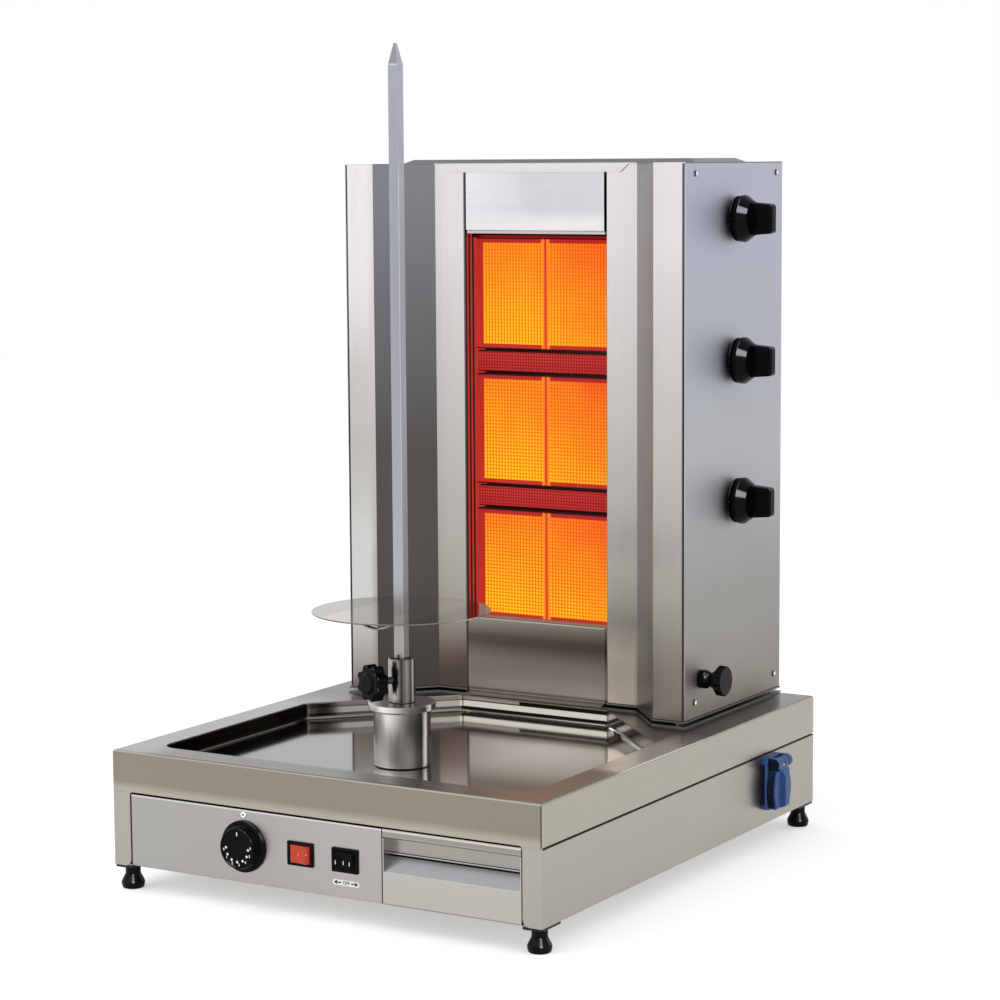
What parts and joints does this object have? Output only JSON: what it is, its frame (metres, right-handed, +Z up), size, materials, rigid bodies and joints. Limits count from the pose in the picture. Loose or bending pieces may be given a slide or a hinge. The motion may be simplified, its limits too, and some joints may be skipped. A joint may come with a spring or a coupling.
{
  "type": "gas doner kebab grill",
  "caption": "Upright gas doner kebab grill: stainless base with drip pan, fat drawer and control panel, motor-driven spit with disc, and a burner tower with knobs.",
  "frame": {"origin": "on the standing plane under the centre of the base housing", "axes": "+Z up the spit, -Y out of the control panel and the drawer, +X the side with the gas knobs"},
  "size_m": [0.5629, 0.684, 0.9155],
  "materials": {
    "brushed_steel": "brushed stainless steel sheet with a fine grain",
    "polished_steel": "polished stainless steel with soft mirror reflections",
    "bearing_brass": "plain turned bronze",
    "black_plastic": "glossy black moulded plastic",
    "foot_rubber": "matt black moulded foot",
    "black_paint": "black painted steel",
    "grey_casting": "sand cast aluminium housing",
    "red_plastic": "translucent red rocker plastic",
    "blue_plastic": "blue moulded plastic",
    "burner_ceramic": "glowing perforated ceramic plate",
    "burner_steel": "heat darkened steel",
    "pipe_brass": "plain brass and copper pipe"
  },
  "bodies": {
    "base": {"base_hood": "brushed_steel", "drip_pan": "polished_steel", "base_chassis": "brushed_steel", "control_panel": "brushed_steel", "drawer_runners": "brushed_steel", "foot_plates": "black_paint", "motor_bracket": "brushed_steel", "gearbox": "grey_casting", "drive_motor": "black_paint", "pedestal": "polished_steel", "pedestal_cap": "polished_steel", "shaft_bush": "bearing_brass", "regulator": "black_plastic", "dial_index": "brushed_steel", "motor_switch": "black_plastic", "direction_switch": "black_plastic", "power_socket": "blue_plastic", "slide_base": "brushed_steel"},
    "tower": {"tower_base": "brushed_steel", "cheek_right": "brushed_steel", "cheek_left": "brushed_steel", "side_panel_right": "brushed_steel", "side_panel_left": "brushed_steel", "rear_panel": "brushed_steel", "roof": "brushed_steel", "upper_fascia": "brushed_steel", "lower_fascia": "brushed_steel", "burner_frames": "burner_steel", "burner_tiles": "burner_ceramic", "burner_housings": "brushed_steel", "burner_baffles": "burner_steel", "knob_bezels": "black_plastic", "gas_valves": "pipe_brass", "gas_pipework": "pipe_brass", "gas_inlet": "pipe_brass", "tower_screws": "brushed_steel", "burner_mesh": "burner_steel"},
    "tower_lock": {"tower_lock": "black_plastic"},
    "spit_drive": {"output_shaft": "polished_steel", "spit_sleeve": "polished_steel"},
    "spit_clamp": {"clamp_screw": "polished_steel", "clamp_knob": "black_plastic"},
    "spit": {"spit_rod": "polished_steel"},
    "meat_disc": {"meat_disc": "polished_steel"},
    "speed_dial": {"dial_knob": "black_plastic"},
    "motor_rocker": {"motor_rocker": "red_plastic"},
    "direction_rocker": {"direction_rocker": "black_plastic"},
    "drawer": {"drawer_front": "brushed_steel", "drawer_box": "brushed_steel"},
    "socket_lid": {"socket_lid": "blue_plastic"},
    "foot_front_left": {"foot_front_left": "foot_rubber"},
    "foot_front_right": {"foot_front_right": "foot_rubber"},
    "foot_rear_left": {"foot_rear_left": "foot_rubber"},
    "foot_rear_right": {"foot_rear_right": "foot_rubber"},
    "valve_low": {"valve_stem_low": "pipe_brass"},
    "gas_knob_low": {"gas_knob_low": "black_plastic"},
    "valve_middle": {"valve_stem_middle": "pipe_brass"},
    "gas_knob_middle": {"gas_knob_middle": "black_plastic"},
    "valve_high": {"valve_stem_high": "pipe_brass"},
    "gas_knob_high": {"gas_knob_high": "black_plastic"}
  },
  "joints": [
    {"name": "tower_slide", "type": "slide", "parent": "base", "child": "tower", "axis": [0, 1, 0], "range_m": [-0.03, 0]},
    {"name": "tower_lock_turn", "type": "hinge", "parent": "tower", "child": "tower_lock", "pos_m": [0.225, 0.115, 0.2065], "axis": [1, 0, 0], "range_deg": [0, 360]},
    {"name": "spit_turn", "type": "hinge", "parent": "base", "child": "spit_drive", "pos_m": [0, -0.16, 0.2], "axis": [0, 0, 1], "continuous": true},
    {"name": "spit_clamp_turn", "type": "hinge", "parent": "spit_drive", "child": "spit_clamp", "pos_m": [0, -0.16, 0.2315], "axis": [-0.342, -0.9397, 0], "range_deg": [0, 720]},
    {"name": "spit_lift", "type": "slide", "parent": "spit_drive", "child": "spit", "axis": [0, 0, 1], "range_m": [0, 0.05]},
    {"name": "disc_height", "type": "slide", "parent": "spit", "child": "meat_disc", "axis": [0, 0, 1], "range_m": [-0.03, 0.08]},
    {"name": "speed_dial_turn", "type": "hinge", "parent": "base", "child": "speed_dial", "pos_m": [-0.095, -0.325, 0.069], "axis": [0, 1, 0], "range_deg": [0, 270]},
    {"name": "motor_rocker_tilt", "type": "hinge", "parent": "base", "child": "motor_rocker", "pos_m": [-0.022, -0.322, 0.0696], "axis": [0, 0, 1], "range_deg": [0, 14]},
    {"name": "direction_rocker_tilt", "type": "hinge", "parent": "base", "child": "direction_rocker", "pos_m": [0.0343, -0.322, 0.0696], "axis": [0, 0, 1], "range_deg": [-7, 7]},
    {"name": "drawer_slide", "type": "slide", "parent": "base", "child": "drawer", "axis": [0, -1, 0], "range_m": [0, 0.3]},
    {"name": "socket_lid_turn", "type": "hinge", "parent": "base", "child": "socket_lid", "pos_m": [0.2828, 0.206, 0.099], "axis": [0, -1, 0], "range_deg": [0, 110], "stiffness_Nm_per_rad": 0.02, "springref_deg": -34.38},
    {"name": "foot_turn_front_left", "type": "hinge", "parent": "base", "child": "foot_front_left", "pos_m": [-0.258, -0.309, 0.015], "axis": [0, 0, 1], "continuous": true},
    {"name": "foot_turn_front_right", "type": "hinge", "parent": "base", "child": "foot_front_right", "pos_m": [0.258, -0.309, 0.015], "axis": [0, 0, 1], "continuous": true},
    {"name": "foot_turn_rear_left", "type": "hinge", "parent": "base", "child": "foot_rear_left", "pos_m": [-0.258, 0.309, 0.015], "axis": [0, 0, 1], "continuous": true},
    {"name": "foot_turn_rear_right", "type": "hinge", "parent": "base", "child": "foot_rear_right", "pos_m": [0.258, 0.309, 0.015], "axis": [0, 0, 1], "continuous": true},
    {"name": "valve_push_low", "type": "slide", "parent": "tower", "child": "valve_low", "axis": [-1, 0, 0], "range_m": [0, 0.003], "stiffness_N_per_m": 1500, "springref_m": -0.003},
    {"name": "gas_knob_turn_low", "type": "hinge", "parent": "valve_low", "child": "gas_knob_low", "pos_m": [0.225, 0.196, 0.402], "axis": [1, 0, 0], "range_deg": [0, 180]},
    {"name": "valve_push_middle", "type": "slide", "parent": "tower", "child": "valve_middle", "axis": [-1, 0, 0], "range_m": [0, 0.003], "stiffness_N_per_m": 1500, "springref_m": -0.003},
    {"name": "gas_knob_turn_middle", "type": "hinge", "parent": "valve_middle", "child": "gas_knob_middle", "pos_m": [0.225, 0.196, 0.563], "axis": [1, 0, 0], "range_deg": [0, 180]},
    {"name": "valve_push_high", "type": "slide", "parent": "tower", "child": "valve_high", "axis": [-1, 0, 0], "range_m": [0, 0.003], "stiffness_N_per_m": 1500, "springref_m": -0.003},
    {"name": "gas_knob_turn_high", "type": "hinge", "parent": "valve_high", "child": "gas_knob_high", "pos_m": [0.225, 0.196, 0.724], "axis": [1, 0, 0], "range_deg": [0, 180]}
  ]
}
